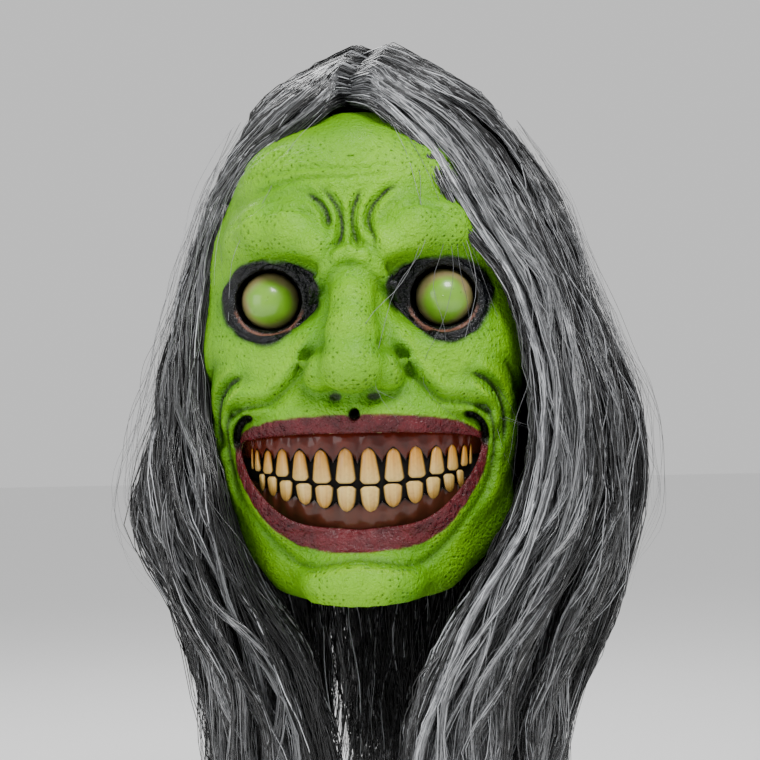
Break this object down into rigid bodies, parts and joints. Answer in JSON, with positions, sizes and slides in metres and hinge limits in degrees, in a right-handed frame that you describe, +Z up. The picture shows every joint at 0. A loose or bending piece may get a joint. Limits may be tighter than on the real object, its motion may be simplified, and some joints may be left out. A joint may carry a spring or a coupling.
{
  "type": "halloween mask",
  "caption": "Full-face rubber ghoul mask with bulging eyes, toothy open grin, sewn-on long grey wig and adjustable head strap.",
  "frame": {"origin": "middle of the head cavity, level with the wearer's ears, where the mask sits on the head", "axes": "+Z up; the face looks along -Y; +X to the right of someone who faces the mask"},
  "size_m": [0.286, 0.262, 0.428],
  "materials": {
    "green_rubber": "satin painted latex with fine grain",
    "eye_gloss": "glossy painted dome",
    "gum_gloss": "wet gloss dark red brown",
    "tooth_enamel": "stained ivory, semi gloss",
    "mouth_black": "matte black paint",
    "cap_net": "stretch net",
    "elastic": "ribbed woven elastic",
    "seam_tape": "twill tape",
    "part_strip": "stitched mesh strip",
    "weft_tape": "stitched weft track",
    "tab_rubber": "unpainted latex",
    "rivet_metal": "polished",
    "slider_plastic": "moulded black",
    "hair": "glossy synthetic fibre, black, grey and silver"
  },
  "bodies": {
    "mask": {"cap_hem_elastic": "elastic", "eyeball_left": "eye_gloss", "eyeball_right": "eye_gloss", "gum_lower": "gum_gloss", "gum_upper": "gum_gloss", "hair_back_centre_outer": "hair", "hair_back_centre_under": "hair", "hair_back_left_outer": "hair", "hair_back_left_under": "hair", "hair_back_right_outer": "hair", "hair_back_right_under": "hair", "hair_crown_left": "hair", "hair_crown_right": "hair", "hair_forelock": "hair", "hair_front_left_outer": "hair", "hair_front_left_under": "hair", "hair_front_right_outer": "hair", "hair_front_right_under": "hair", "hair_side_left_outer": "hair", "hair_side_left_under": "hair", "hair_side_right_outer": "hair", "hair_side_right_under": "hair", "head_strap": "elastic", "mouth_plate": "mouth_black", "part_strip": "part_strip", "rubber_face": "green_rubber", "seam_tape": "seam_tape", "strap_tab_left": "tab_rubber", "strap_tab_right": "tab_rubber", "tab_rivets": "rivet_metal", "teeth_lower": "tooth_enamel", "teeth_upper": "tooth_enamel", "weft_track_crown": "weft_tape", "weft_track_lower": "weft_tape", "weft_track_middle": "weft_tape", "weft_track_nape": "weft_tape", "weft_track_upper": "weft_tape", "wig_cap": "cap_net"},
    "slider": {"strap_slider": "slider_plastic"}
  },
  "joints": [
    {"name": "slider_travel", "type": "hinge", "parent": "mask", "child": "slider", "pos_m": [0, 0.017, -0.05], "axis": [0, 0, 1], "range_deg": [-55, 55]}
  ]
}
